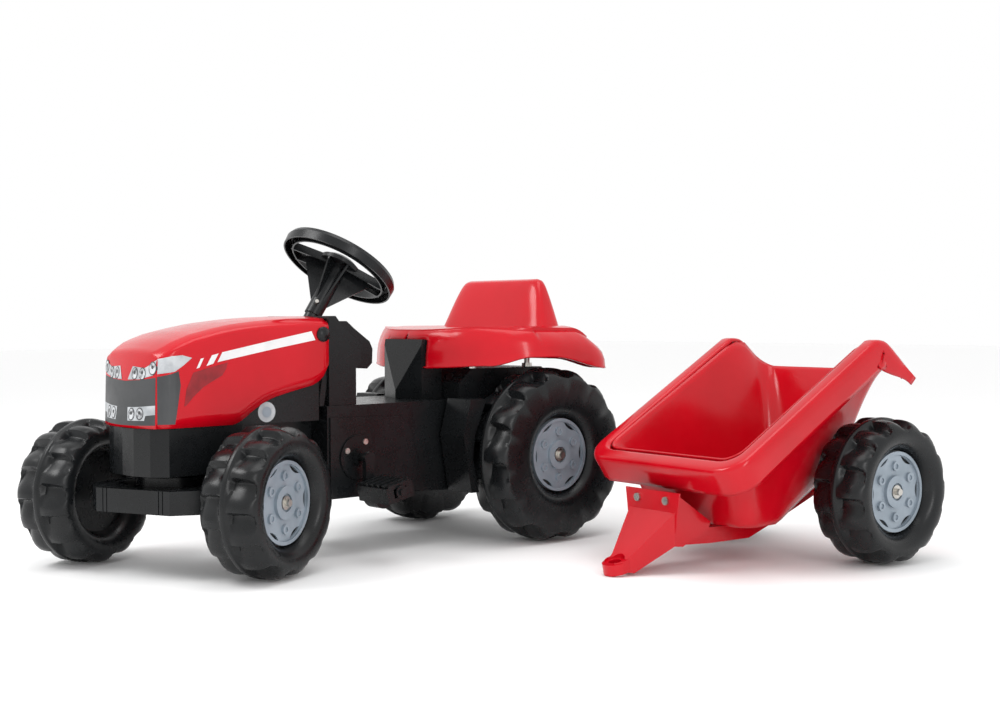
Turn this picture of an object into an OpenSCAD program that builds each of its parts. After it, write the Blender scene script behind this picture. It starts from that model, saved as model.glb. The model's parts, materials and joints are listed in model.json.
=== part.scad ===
// Pedal tractor for a small child, with a tipping trailer parked beside it.
// Millimetres. Front is -Y, the driver's left is +X, up is +Z, the floor is z = 0.

/* [Steering] */
// Angle of the front axle about the kingpin, positive to the driver's left
steer_deg = 22.2; // [-26:0.1:26]
// Degrees the steering wheel turns for one degree at the front axle
wheel_per_axle = 2.2523; // [1:0.01:3]
// Lean of the steering column from upright
column_lean = 33.7; // [20:0.1:50]

/* [Tractor] */
// Distance between the front and rear axles
wheelbase = 597; // [500:1:700]
// Radius of the front and trailer tyres
front_r = 109; // [90:1:130]
// Radius of the rear tyres
rear_r = 143; // [120:1:160]
// Middle of each front and rear tyre from the centre line
half_track = 167; // [150:1:190]
// Half the width of a tyre
tyre_half = 48; // [35:1:55]
// Number of tread lugs on each side of a tyre
lugs = 14; // [12:1:30]
// Radius of the crank from its axis to the pedal pin
crank_throw = 45; // [35:1:60]
// Angle of the left crank arm, 0 points straight down
crank_deg = 0; // [-180:1:180]
// Wall thickness of the moulded shells
wall = 3; // [2:0.5:5]

/* [Trailer] */
// Trailer axle to the driver's left of the tractor centre line
trailer_x = 512.6; // [450:0.1:600]
// Trailer axle behind the tractor rear axle
trailer_y = 222.6; // [0:0.1:900]
// Heading of the trailer
trailer_yaw = -5.4; // [-20:0.1:20]
// Middle of each trailer tyre from the trailer centre line
trailer_track = 163; // [150:1:180]
// Slope of the trailer rim when the drawbar rests on the floor
rim_slope = 30.3; // [15:0.1:40]

/* [Hidden] */
$fn = 48;
shift_x = -248.6;
shift_y = 211.84;
phi = steer_deg * wheel_per_axle;
crank_y = -329;
crank_z = 154;
run = 0.08;
body_black = [0.05, 0.05, 0.055];
shell_red = [0.75, 0.02, 0.03];
disc_grey = [0.42, 0.45, 0.48];
metal = [0.7, 0.68, 0.62];

// ---- placing and shared shapes ----
module tractor() { translate([shift_x, shift_y, 0]) children(); }
module trailer() {
  tractor() translate([trailer_x, trailer_y, 0]) rotate([0, 0, trailer_yaw]) children();
}
module front_axle() { tractor() translate([0, -wheelbase, 0]) rotate([0, 0, steer_deg]) children(); }
module column_frame() {
  tractor() translate([0, -295, 458]) rotate([-column_lean, 0, 0]) rotate([0, 0, phi]) children();
}
module side_shape(pts, w) { translate([-w / 2, 0, 0]) rotate([90, 0, 90]) linear_extrude(w) polygon(pts); }
module both() { children(); mirror([1, 0, 0]) children(); }
module rod_x(r, len) { translate([-len / 2, 0, 0]) rotate([0, 90, 0]) cylinder(r = r, h = len); }
module ring_x(ro, ri, len) {
  rotate([0, 90, 0]) difference() {
    cylinder(r = ro, h = len);
    translate([0, 0, -1]) cylinder(r = ri, h = len + 2);
  }
}

// ---- wheels: axis along +X, outer side at +X ----
module saw(r, depth, flip) {
  step = 360 / lugs;
  pts = [for (i = [0:lugs - 1]) each [
    [r * cos(i * step), r * sin(i * step)],
    [r * cos(i * step + 0.34 * step), r * sin(i * step + 0.34 * step)],
    [(r - depth) * cos(i * step + 0.52 * step), (r - depth) * sin(i * step + 0.52 * step)],
    [(r - depth) * cos(i * step + 0.86 * step), (r - depth) * sin(i * step + 0.86 * step)]]];
  mirror([0, flip, 0]) polygon(pts);
}
module tyre(r, face, bore) {
  w = tyre_half;
  b = r - 8;
  rotate([0, 90, 0]) {
    difference() {
      union() {
        rotate_extrude($fn = 96) polygon([[bore, -24], [62, -24], [66, -32], [74, -w + 4], [84, -w],
          [b - 10, -w], [b - 2, -w + 8], [b, -8], [r - 1.5, -6], [r, -3], [r, 3], [r - 1.5, 6], [b, 8],
          [b - 2, w - 8], [b - 10, w], [84, w], [74, w - 4], [66, face + 6], [62, face], [bore, face]]);
        intersection() {
          rotate_extrude($fn = 96) polygon([[60, -w + 1], [b - 6, -w + 1], [r - 5, -w + 7], [r - 0.5, -w + 16],
            [r - 0.5, w - 16], [r - 5, w - 7], [b - 6, w - 1], [60, w - 1]]);
          union() {
            translate([0, 0, 5]) linear_extrude(w - 5) saw(r - 0.5, 9, 0);
            rotate([0, 0, 180 / lugs]) translate([0, 0, -w]) linear_extrude(w - 5) saw(r - 0.5, 9, 0);
          }
        }
      }
      rotate_extrude($fn = 96) polygon([[20, -21], [63, -21], [69, -29], [76, -w + 7], [85, -w + 3],
        [b - 12, -w + 3], [b - 5, -w + 9], [b - 3, 0], [b - 5, w - 9], [b - 12, w - 3], [85, w - 3],
        [76, w - 7], [69, face + 3], [63, face - 3], [20, face - 3]]);
      translate([40, 0, -30]) cylinder(r = 3, h = 12);
    }
  }
}
module disc(face, bore) {
  translate([face, 0, 0]) rotate([0, 90, 0]) {
    difference() {
      union() {
        cylinder(r = 60, h = 3);
        difference() {
          cylinder(r = 60, h = 7);
          translate([0, 0, 2]) cylinder(r = 55, h = 8);
        }
        cylinder(r = 24, h = 8);
        for (a = [0:60:300]) rotate([0, 0, a]) translate([38, 0, 0]) cylinder(r = 7, h = 7);
      }
      translate([0, 0, -1]) cylinder(r = bore, h = 12);
      translate([0, 0, 4]) cylinder(r = 13, h = 8);
      for (a = [0:60:300]) rotate([0, 0, a]) translate([38, 0, 5]) cylinder(r = 4, h = 3);
      for (a = [30:60:330]) rotate([0, 0, a]) intersection() {
        translate([72, 0, -1]) cylinder(r = 24, h = 6);
        translate([0, 0, -1]) cylinder(r = 54, h = 6);
      }
    }
  }
}
module push_nut(r) { ring_x(r + 5, r, 3); }
module wheel_nut_pair(track, face, r) { both() translate([track + face + 4.5, 0, 0]) push_nut(r); }

// ---- tractor body ----
nose_plan = [[-80, -530], [-80, -648], [-62, -668], [-30, -677], [0, -679], [30, -677], [62, -668], [80, -648], [80, -530]];
module chassis_shell() color(body_black) tractor() {
  difference() {
    union() {
      translate([0, 0, 146]) linear_extrude(68) polygon(nose_plan);
      translate([-45, -545, 134]) cube([90, 170, 80]);
      side_shape([[-636, 214], [-636, 238], [-500, 262], [-396, 282], [-396, 214]], 164);
      side_shape([[-385, 96], [-224, 91], [-110, 86], [-110, 235], [-385, 235]], 176);
      side_shape([[-381, 92], [-196, 92], [-228, 197], [-243, 213], [-381, 217]], 182);
      side_shape([[-125, 88], [60, 88], [90, 130], [90, 262], [60, 285], [-100, 285], [-125, 262]], 190);
    }
    translate([0, 0, 149]) linear_extrude(80) polygon([for (p = nose_plan) [p[0] * 0.96, (p[1] + 600) * 0.96 - 600]]);
    translate([-42, -542, 120]) cube([84, 170, 91]);
    side_shape([[-633, 211], [-633, 300], [-399, 300], [-399, 211]], 158);
    side_shape([[-382, 80], [-382, 232], [-107, 232], [-107, 80]], 170);
    side_shape([[-122, 80], [-122, 260], [-98, 282], [58, 282], [87, 260], [87, 132], [57, 80]], 184);
    translate([0, crank_y, crank_z]) rod_x(9, 200);
    translate([0, 0, rear_r]) rod_x(9, 200);
  }
  // kingpin boss in the nose
  translate([0, -wheelbase, 146]) difference() {
    cylinder(r = 18, h = 32);
    translate([0, 0, -1]) cylinder(r = 8, h = 40);
  }
  // lower column bearing across the waist
  difference() {
    translate([-42, -500, 166]) cube([84, 40, 22]);
    translate([0, -295, 458]) rotate([-column_lean, 0, 0]) translate([0, 0, -400]) cylinder(r = 6 + run, h = 200);
  }
  // bearing bosses for the crank and the rear axle
  both() translate([72, crank_y, crank_z]) ring_x(16, 9, 15);
  both() translate([76, 0, rear_r]) ring_x(16, 9, 16);
}
module dash_tower() color(body_black) tractor() difference() {
  union() {
    side_shape([[-379, 235.2], [-379, 373], [-366, 373], [-351, 355], [-323, 334], [-318, 323], [-318, 300],
      [-328, 292], [-328, 235.2]], 170);
    side_shape([[-334, 292], [-334, 365], [-306, 365], [-291, 353], [-261, 332], [-255, 320], [-256, 297],
      [-266, 288]], 60);
    both() translate([76, 0, 0]) side_shape([[-394, 235.2], [-394, 248], [-374, 363], [-366, 363], [-386, 235.2]], 10);
  }
  side_shape([[-400, 239], [-400, 369], [-368, 369], [-353, 351], [-325, 331], [-321, 322], [-321, 303],
    [-331, 295], [-331, 239]], 160);
  side_shape([[-340, 296], [-340, 330], [-306, 350], [-293, 349], [-264, 330], [-258, 319], [-259, 299]], 54);
  translate([0, -295, 458]) rotate([-column_lean, 0, 0]) translate([0, 0, -160]) cylinder(r = 12, h = 120);
}
module column_bush() color(body_black) tractor() translate([0, -295, 458]) rotate([-column_lean, 0, 0])
  difference() {
    union() {
      translate([0, 0, -113]) cylinder(r = 12, h = 11);
    }
    translate([0, 0, -140]) cylinder(r = 6 + run, h = 60);
  }
module seat_pedestal() color(body_black) tractor() difference() {
  translate([0, 0, 235.2]) intersection() {
    linear_extrude(100) polygon([[-50, -170], [0, -186], [50, -170], [50, -127], [-50, -127]]);
    translate([0, 0, -235.2]) side_shape([[-190, 230], [-168, 334], [-127, 334], [-127, 230]], 120);
  }
  side_shape([[-166, 220], [-150, 331], [-130, 331], [-130, 220]], 94);
}
module wheel_guards() color(body_black) tractor() both() translate([125, 0, 0]) difference() {
  side_shape([[-152, 238], [-168, 180], [-152, 88], [-136, 88], [-148, 143], [-144, 180], [-119, 238]], 59);
  side_shape([[-146, 236], [-150.5, 234], [-164, 180], [-151, 100], [-141, 100], [-152, 143], [-148, 181], [-124, 234]], 53);
}
module hood() color(shell_red) tractor() difference() {
  hood_block(0, 87, 214.2);
  hood_block(wall, 84, 200);
}
module hood_block(t, hw, low) {
  intersection() {
    side_shape([[-682 + t, low], [-676 + t, 262], [-664 + t, 306 - t], [-640, 338 - t], [-608, 351 - t], [-540, 365 - t],
      [-471, 372 - t], [-380, 374.5 - t], [-380, 300], [-392, 276 - 4 * t], [-407, 268 - 4 * t],
      [-449, 259 - 4 * t], [-481, 252 - 4 * t],
      [-516, 234 - 4 * t], [-546, low], [-600, low]], 2 * hw);
    translate([0, 0, low - 5]) linear_extrude(200) polygon([[-hw, -370], [-hw, -645 + t], [-hw + 12, -662 + t],
      [-50, -676 + t], [0, -682 + t], [50, -676 + t], [hw - 12, -662 + t], [hw, -645 + t], [hw, -370]]);
    translate([0, -370, 0]) rotate([90, 0, 0]) linear_extrude(320) polygon([[-hw, low - 1], [-hw, 352 - t],
      [-hw + 5, 362 - t], [-hw + 16, 368 - t], [-40, 373 - t], [0, 375 - t], [40, 373 - t], [hw - 16, 368 - t],
      [hw - 5, 362 - t], [hw, 352 - t], [hw, low - 1]]);
  }
}
module hood_plugs() color(body_black) tractor() both() translate([87, -391, 345]) rotate([0, 90, 0]) intersection() {
  cylinder(r = 11.5, h = 8);
  translate([0, 0, -9]) sphere(r = 16);
}

// ---- seat with fenders ----
module seat() color(shell_red) tractor() {
  difference() {
    seat_block(0);
    seat_block(wall);
    translate([-54, -200, 270]) cube([108, 60, 65]);
    translate([-3, -200, 330]) cube([6, 50, 12]);
  }
  difference() {
    seat_back(0, 345);
    seat_back(wall, 340);
    seat_block(1);
  }
  // bosses for the seat bolts
  both() for (p = [[-88, 9], [40, 5]]) translate([80, p[0], 346]) cylinder(r = 9, h = p[1]);
}
module seat_block(t) {
  intersection() {
    translate([0, 0, 250]) linear_extrude(150) polygon(concat(seat_half(t, 1), seat_half_back(t, -1)));
    side_shape([[-175, 288], [-172 + t, 340 - t], [-158 + t, 352 - t], [-140, 357 - t], [20, 357 - t], [70, 347 - t],
      [98 - t, 312 - t], [112 - t, 285 - t], [112, 280], [106, 280], [46, 292 - 2 * t], [0, 304 - 2 * t], [-62, 306 - 2 * t],
      [-108, 300 - 2 * t], [-140, 289 - 2 * t]], 500);
    translate([0, 200, 0]) rotate([90, 0, 0]) linear_extrude(420) polygon([[-212 + t, 270], [-210 + t, 296],
      [-198 + t, 332], [-180, 352 - t], [-120, 357 - t], [120, 357 - t], [180, 352 - t], [198 - t, 332],
      [210 - t, 296], [212 - t, 270]]);
  }
}
function seat_half(t, s) = [[s * 2, -172 + t], [s * 50, -168 + t], [s * 110, -140 + t], [s * (160 - t), -100 + t],
  [s * (194 - t), -58 + t], [s * (208 - t), -10], [s * (212 - t), 50], [s * (210 - t), 112 - t], [s * 150, 116 - t],
  [s * 90, 92 - t], [s * 2, 86 - t]];
function seat_half_back(t, s) = [[s * 2, 86 - t], [s * 90, 92 - t], [s * 150, 116 - t], [s * (210 - t), 112 - t],
  [s * (212 - t), 50], [s * (208 - t), -10], [s * (194 - t), -58 + t], [s * (160 - t), -100 + t], [s * 110, -140 + t],
  [s * 50, -168 + t], [s * 2, -172 + t]];
module seat_back(t, low) {
  intersection() {
    side_shape([[14 + t, low], [32 + t, 400], [42 + t, 430 - t], [54, 436 - t], [66, 432 - t], [76 - t, 420 - t],
      [84 - t, low]], 320);
    translate([0, 120, 0]) rotate([90, 0, 0]) linear_extrude(140) polygon([[-139 + t, low - 5], [-133 + t, 362],
      [-104 + t, 424 - t], [-88, 434 - t], [0, 437 - t], [88, 434 - t], [104 - t, 424 - t], [133 - t, 362],
      [139 - t, low - 5]]);
  }
}
// studs that stand on the chassis and hold the seat by the bosses under it
module seat_bolts() color(metal) tractor() both() for (y = [-88, 40]) translate([80, y, 285.1]) {
  cylinder(r = 9, h = 6, $fn = 6);
  cylinder(r = 5, h = 60.8);
}

// ---- crank drive ----
module crank_covers() color(body_black) tractor() both() translate([91.1, crank_y, crank_z]) difference() {
  union() {
    ring_x(35, 6.6, 3);
    ring_x(14, 6.6, 7);
  }
  for (a = [65, 215, 335]) rotate([a, 0, 0]) translate([0, 0, 26]) rotate([0, 90, 0]) translate([0, 0, -1]) cylinder(r = 2.5, h = 9);
}
module cover_screws() color(metal) tractor() both() translate([91.1, crank_y, crank_z])
  for (a = [65, 215, 335]) rotate([a, 0, 0]) translate([0, 0, 26]) rotate([0, 90, 0]) {
    cylinder(r = 2.5, h = 3);
    translate([0, 0, 3]) cylinder(r = 4.5, h = 2);
  }
module crank_bushes() color(disc_grey) tractor() both() translate([74, crank_y, crank_z]) ring_x(9, 6 + run, 16);
module rear_axle_bushes() color(disc_grey) tractor() both() translate([78, 0, rear_r]) ring_x(9, 6 + run, 18);
module crank_arm() {
  translate([113, 0, 0]) rotate([0, 90, 0]) {
    cylinder(r = 10, h = 9);
    translate([crank_throw, 0, 0]) cylinder(r = 10, h = 9);
    translate([0, -8, 0]) cube([crank_throw, 16, 9]);
    translate([crank_throw, 0, 0]) cylinder(r = 5, h = 92);
  }
}
module crank() color(body_black) tractor() translate([0, crank_y, crank_z]) rotate([crank_deg, 0, 0]) {
  rod_x(6, 234);
  crank_arm();
  rotate([0, 0, 180]) mirror([0, 1, 0]) rotate([180, 0, 0]) crank_arm();
}
module toothed(r, n, t) {
  linear_extrude(t) polygon([for (i = [0:n - 1]) each [
    [r * cos(i * 360 / n), r * sin(i * 360 / n)],
    [(r - 4) * cos((i + 0.5) * 360 / n), (r - 4) * sin((i + 0.5) * 360 / n)]]]);
}
module sprocket(r, n, bore) {
  translate([-29.5, 0, 0]) rotate([0, 90, 0]) difference() {
    union() {
      toothed(r, n, 3);
      translate([0, 0, -5]) cylinder(r = 14, h = 13);
    }
    translate([0, 0, -6]) cylinder(r = bore, h = 20);
  }
}
module crank_sprocket() color(metal) tractor() translate([0, crank_y, crank_z]) sprocket(40.5, 24, 6);
module rear_sprocket() color(metal) tractor() translate([0, 0, rear_r]) sprocket(27, 16, 6);
function loop_pts(ra, rb) = let (d = norm([crank_y, crank_z - rear_r]), t = asin((ra - rb) / d)) concat(
  [for (i = [0:24]) let (a = 90 + t + i * (180 - 2 * t) / 24) [rb * cos(a), rb * sin(a)]],
  [for (i = [0:24]) let (a = -90 - t + i * (180 + 2 * t) / 24) [d + ra * cos(a), ra * sin(a)]]);
module chain() color(metal) tractor() translate([-31, 0, rear_r])
  rotate([-atan2(crank_z - rear_r, -crank_y), 0, 0]) rotate([90, 0, 90]) mirror([1, 0, 0])
    linear_extrude(6) difference() {
      polygon(loop_pts(47, 33.5));
      polygon(loop_pts(41.6, 28.1));
    }
module pedal() {
  difference() {
    union() {
      translate([0, -25, -13]) cube([74, 50, 24]);
      translate([0, -21, 10.9]) cube([74, 42, 3]);
      for (i = [0:4]) translate([8 + 14 * i, -23, 11]) cube([4, 46, 5]);
      translate([0, 0, -13]) rotate([0, 90, 0]) cylinder(r = 17, h = 30);
    }
    translate([-1, 0, 0]) rotate([0, 90, 0]) cylinder(r = 5 + run, h = 80);
    translate([66, -12, -7]) cube([9, 24, 14]);
  }
}
module pedal_left() color(body_black) tractor() translate([0, crank_y, crank_z]) rotate([crank_deg, 0, 0])
  translate([123, 0, -crank_throw]) rotate([12 - crank_deg, 0, 0]) pedal();
module pedal_right() color(body_black) tractor() translate([0, crank_y, crank_z]) rotate([crank_deg, 0, 0])
  translate([-123, 0, crank_throw]) rotate([12 - crank_deg, 0, 0]) mirror([1, 0, 0]) pedal();
module pedal_push_nuts() color(body_black) tractor() translate([0, crank_y, crank_z]) rotate([crank_deg, 0, 0]) {
  translate([198, 0, -crank_throw]) push_nut(5);
  translate([-201, 0, crank_throw]) push_nut(5);
}

// ---- rear axle ----
module rear_axle_rod() color(metal) tractor() translate([0, 0, rear_r]) rod_x(6, 2 * (half_track + 42));
module rear_push_nuts() color(metal) tractor() translate([0, 0, rear_r]) wheel_nut_pair(half_track, 28, 6);
module tyre_rear_left() color(body_black) tractor() translate([half_track, 0, rear_r]) tyre(rear_r, 28, 6 + run);
module tyre_rear_right() color(body_black) tractor() translate([-half_track, 0, rear_r]) mirror([1, 0, 0]) tyre(rear_r, 28, 6);
module disc_rear_left() color(disc_grey) tractor() translate([half_track, 0, rear_r]) disc(28, 6 + run);
module disc_rear_right() color(disc_grey) tractor() translate([-half_track, 0, rear_r]) mirror([1, 0, 0]) disc(28, 6);

// ---- hitch ----
module hitch_bracket() color(body_black) tractor() difference() {
  union() {
    translate([-30, 90.3, 98]) cube([60, 5, 64]);
    translate([-22, 95, 104]) cube([44, 39, 6]);
    translate([0, 134, 104]) cylinder(r = 22, h = 6);
    both() translate([16, 0, 0]) side_shape([[94, 100], [94, 150], [112, 110], [130, 106], [130, 104]], 4);
  }
  translate([0, 134, 90]) cylinder(r = 6, h = 60);
}
// upright pin with a shoulder on the plate, a rounded top and a retaining washer below
module hitch_pin() color(metal) tractor() translate([0, 134, 0]) {
  translate([0, 0, 96]) cylinder(r = 6, h = 20);
  translate([0, 0, 110.1]) cylinder(r = 8, h = 34);
  translate([0, 0, 144]) cylinder(r1 = 8, r2 = 5, h = 4);
  translate([0, 0, 98]) cylinder(r = 12, h = 5.8);
}

// ---- steering ----
module kingpin() color(metal) tractor() translate([0, -wheelbase, 0]) {
  translate([0, 0, 88]) cylinder(r = 8, h = 96);
  translate([0, 0, 86]) cylinder(r = 15, h = 5);
}
module kingpin_clip() color(metal) tractor() translate([0, -wheelbase, 178.2]) difference() {
  cylinder(r = 13, h = 3);
  translate([0, 0, -1]) cylinder(r = 8, h = 6);
}
module axle_beam() color(body_black) front_axle() difference() {
  union() {
    translate([0, 0, 94]) linear_extrude(34) polygon([[-66, -92], [66, -92], [100, -62], [110, -40], [110, 26],
      [-110, 26], [-110, -40], [-100, -62]]);
    translate([0, 0, 128]) cylinder(r = 52, h = 12);
    translate([0, 0, 140]) cylinder(r = 42, h = 5.6);
    translate([0, 0, 94]) linear_extrude(7) polygon([[-34, 20], [34, 20], [24, 146], [12, 158], [-12, 158], [-24, 146]]);
  }
  translate([0, 0, 80]) cylinder(r = 8 + run, h = 80);
  both() translate([14, 0, front_r]) rotate([0, 90, 0]) cylinder(r = 5, h = 110);
  translate([0, 0, 80]) linear_extrude(30) polygon([[-11, 80], [11, 80], [11, 146], [-11, 146]]);
  both() translate([0, -93, 90]) for (x = [46, 53]) translate([x, 0, 0]) cube([1.5, 2.5, 50]);
  translate([0, 0, 90]) difference() {
    translate([-104, -86, -1]) cube([208, 106, 34]);
    for (x = [-60, 0, 60]) translate([x - 2, -90, -2]) cube([4, 120, 40]);
    translate([-110, -14, -2]) cube([220, 28, 40]);
    translate([0, 0, -2]) cylinder(r = 24, h = 40);
    translate([-104, -86, -2]) rotate([0, 0, 0]) linear_extrude(40) polygon([[0, 0], [44, 0], [0, 34]]);
    translate([104, -86, -2]) linear_extrude(40) polygon([[0, 0], [-44, 0], [0, 34]]);
  }
}
module front_axle_rod() color(metal) front_axle() both() translate([14, 0, front_r]) rotate([0, 90, 0])
  cylinder(r = 5, h = half_track + 24);
module front_push_nuts() color(metal) front_axle() translate([0, 0, front_r]) wheel_nut_pair(half_track, 24, 5);
module tyre_front_left() color(body_black) front_axle() translate([half_track, 0, front_r]) tyre(front_r, 24, 5 + run);
module tyre_front_right() color(body_black) front_axle() translate([-half_track, 0, front_r]) mirror([1, 0, 0]) tyre(front_r, 24, 5 + run);
module disc_front_left() color(disc_grey) front_axle() translate([half_track, 0, front_r]) disc(24, 5 + run);
module disc_front_right() color(disc_grey) front_axle() translate([-half_track, 0, front_r]) mirror([1, 0, 0]) disc(24, 5 + run);

module steering_wheel() color(body_black) column_frame() difference() {
  union() {
    rotate_extrude($fn = 96) polygon([[95, -15], [96, -2], [93, 4], [87, 5.5], [81, 1], [78, -14], [80.5, -14],
      [83, -1], [87.5, 3], [91.5, 2], [93.5, -3], [92.5, -15]]);
    for (a = [11, 169]) rotate([0, 0, a]) {
      translate([12, -19, -6]) cube([70, 38, 5]);
      translate([12, -19, -14]) cube([68, 3, 10]);
      translate([12, 16, -14]) cube([68, 3, 10]);
      translate([0, 1.5, 0]) rotate([90, 0, 0]) linear_extrude(3) polygon([[12, -5], [60, -5], [56, -16], [13, -80]]);
    }
    translate([0, 0, -8]) cylinder(r = 34, h = 7);
    translate([0, 0, -1.1]) cylinder(r1 = 34, r2 = 24, h = 6);
    for (a = [60, 120, 240, 300]) rotate([0, 0, a]) translate([0, 1.5, 0]) rotate([90, 0, 0])
      linear_extrude(3) polygon([[12, -5], [33, -5], [33, -12], [13, -78]]);
    translate([0, 0, -100]) cylinder(r = 14, h = 99);
  }
  for (a = [11, 169]) rotate([0, 0, a]) translate([66, 0, -12]) cylinder(r = 10, h = 20);
  translate([0, 0, -120]) cylinder(r = 6, h = 105);
  translate([0, 0, -84]) rotate([90, 0, 0]) translate([0, 0, -30]) cylinder(r = 3, h = 60);
}
module steering_column() color(metal) column_frame() difference() {
  union() {
    translate([0, 0, -388]) cylinder(r = 6, h = 373);
    translate([0, 0, -388]) sphere(r = 6);
    translate([0, 0, -388]) rotate([-90, 0, 0]) cylinder(r = 6, h = 58);
    translate([0, 58, -388]) sphere(r = 6);
    translate([0, 58, -422]) cylinder(r = 6, h = 34);
  }
  translate([0, 0, -84]) rotate([90, 0, 0]) translate([0, 0, -30]) cylinder(r = 3, h = 60);
}
module column_pin() color(metal) column_frame() translate([0, 0, -84]) rotate([90, 0, 0]) {
  translate([0, 0, -24]) cylinder(r = 3, h = 48);
  translate([0, 0, -25]) cylinder(r = 4.5, h = 4);
}

// ---- trailer ----
module rim_frame() { translate([0, -311, 155]) rotate([rim_slope, 0, 0]) children(); }
rim_len = 350;
module rim_plan(i) {
  polygon([[-163 + i, rim_len], [-163 + i, 46], [-150 + i, 16], [-120, i], [120, i], [150 - i, 16], [163 - i, 46],
    [163 - i, rim_len]]);
}
module tub_block(t, k) {
  hull() {
    both() {
      translate([104 - t, -228 + t, 60 + t]) cube(0.1);
      translate([94 - t, -150, 60 + t]) cube(0.1);
      translate([76 - t, 0, 128 + t]) cube(0.1);
      translate([76 - t, 42 - t, 165 + t]) cube(0.1);
      translate([134 - t, -290 + t, 160 + k]) cube(0.1);
      translate([134 - t, -10, 326 + k]) cube(0.1);
      translate([134 - t, 16, 326 + k]) cube(0.1);
      translate([120 - t, 70 - t, 284 + k]) cube(0.1);
    }
  }
}
module trailer_tub() color(shell_red) trailer() {
  difference() {
    union() {
      tub_block(0, 0);
      rim_frame() {
        translate([0, 0, -3]) linear_extrude(3) rim_plan(0);
        translate([0, 0, -45]) linear_extrude(43) difference() { rim_plan(0); rim_plan(3); translate([-200, 300]) square([400, 80]); }
      }
      both() translate([150.5, 0, 0]) {
        side_shape([[-14, 328], [-8, 334], [18, 334], [90, 277], [88, 272], [17, 330.5], [-8, 330.5]], 25);
        translate([11, 0, 0]) side_shape([[-60, 300], [-8, 334], [18, 334], [90, 277], [78, 264], [40, 286], [10, 290], [-40, 258]], 3);
      }
    }
    tub_block(3, 40);
    rim_frame() translate([0, 0, -10]) linear_extrude(60) polygon([[-135, 400], [-135, 40], [-120, 26], [120, 26], [135, 40], [135, 400]]);
    translate([0, 0, front_r]) rod_x(18, 400);
  }
}
module trailer_drawbar() color(shell_red) trailer() difference() {
  union() {
    // hanger plate against the tub front, with its folded lip and gussets
    translate([0, -309, 0]) rotate([90, 0, 0]) linear_extrude(3) polygon([[-57, 117], [57, 117], [49, 60], [-49, 60]]);
    both() translate([46, 0, 0]) side_shape([[-312, 117], [-312, 40], [-296, 38], [-244, 60], [-240, 70]], 4);
    side_shape([[-312, 88], [-312, 80], [-366, 20], [-366, 26]], 34);
    translate([0, 0, 0]) intersection() {
      side_shape([[-312, 88], [-312, 40], [-366, 4], [-394, 8], [-394, 20], [-376, 24]], 130);
      linear_extrude(130) polygon([[-50, -308], [50, -308], [19, -372], [19, -384], [10, -398], [-10, -398], [-19, -384], [-19, -372]]);
    }
    // spine under the tub that carries the axle
    both() translate([36, 0, 0]) side_shape([[-310.5, 40], [-310.5, 80], [-250, 78], [-233, 59.4], [-150, 59.4], [-84, 89],
      [0, 125.5], [16, 126], [20, 92], [0, 90], [-80, 60], [-150, 36], [-230, 36]], 6);
    both() translate([35, 0, front_r]) rotate([0, 90, 0]) cylinder(r = 16, h = 56);
    translate([0, -382, 12.2]) rotate([12, 0, 0]) translate([0, 0, -8]) cylinder(r = 19, h = 16);
  }
  translate([0, -382, 12.2]) rotate([12, 0, 0]) {
    translate([0, 0, -20]) cylinder(r = 9, h = 40);
    for (z = [8, -28]) translate([0, 0, z]) cylinder(r = 15, h = 20);
  }
  translate([0, 0, front_r]) rod_x(5 + run, 300);
  translate([0, 0, 0]) intersection() {
    side_shape([[-315, 70], [-315, 30], [-360, 2], [-310, 2]], 84);
    linear_extrude(100) polygon([[-44, -300], [44, -300], [24, -352], [-24, -352]]);
  }
}
module trailer_screws() color(metal) trailer() both() translate([30, -312, 104]) rotate([90, 0, 0]) cylinder(r = 6, h = 3);
module trailer_axle_rod() color(metal) trailer() translate([0, 0, front_r]) rod_x(5, 2 * (trailer_track + 38));
module trailer_push_nuts() color(metal) trailer() translate([0, 0, front_r]) wheel_nut_pair(trailer_track, 24, 5);
module tyre_trailer_left() color(body_black) trailer() translate([trailer_track, 0, front_r]) tyre(front_r, 24, 5 + run);
module tyre_trailer_right() color(body_black) trailer() translate([-trailer_track, 0, front_r]) mirror([1, 0, 0]) tyre(front_r, 24, 5 + run);
module disc_trailer_left() color(disc_grey) trailer() translate([trailer_track, 0, front_r]) disc(24, 5 + run);
module disc_trailer_right() color(disc_grey) trailer() translate([-trailer_track, 0, front_r]) mirror([1, 0, 0]) disc(24, 5 + run);

chassis_shell();
dash_tower();
seat_pedestal();
wheel_guards();
hood();
hood_plugs();
seat();
seat_bolts();
crank_covers();
cover_screws();
crank_bushes();
rear_axle_bushes();
column_bush();
chain();
kingpin();
kingpin_clip();
steering_wheel();
steering_column();
column_pin();
axle_beam();
front_axle_rod();
front_push_nuts();
tyre_front_left();
tyre_front_right();
disc_front_left();
disc_front_right();
crank();
crank_sprocket();
pedal_left();
pedal_right();
pedal_push_nuts();
rear_axle_rod();
rear_sprocket();
rear_push_nuts();
tyre_rear_left();
tyre_rear_right();
disc_rear_left();
disc_rear_right();
hitch_bracket();
hitch_pin();
trailer_tub();
trailer_drawbar();
trailer_screws();
trailer_axle_rod();
trailer_push_nuts();
tyre_trailer_left();
tyre_trailer_right();
disc_trailer_left();
disc_trailer_right();
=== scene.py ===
# Looks for the pedal tractor and its trailer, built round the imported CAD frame. Metres, row frame.
import bmesh
import bpy
import json
import math
import numpy as np
from mathutils import Matrix, Vector
from mathutils.bvhtree import BVHTree


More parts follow.
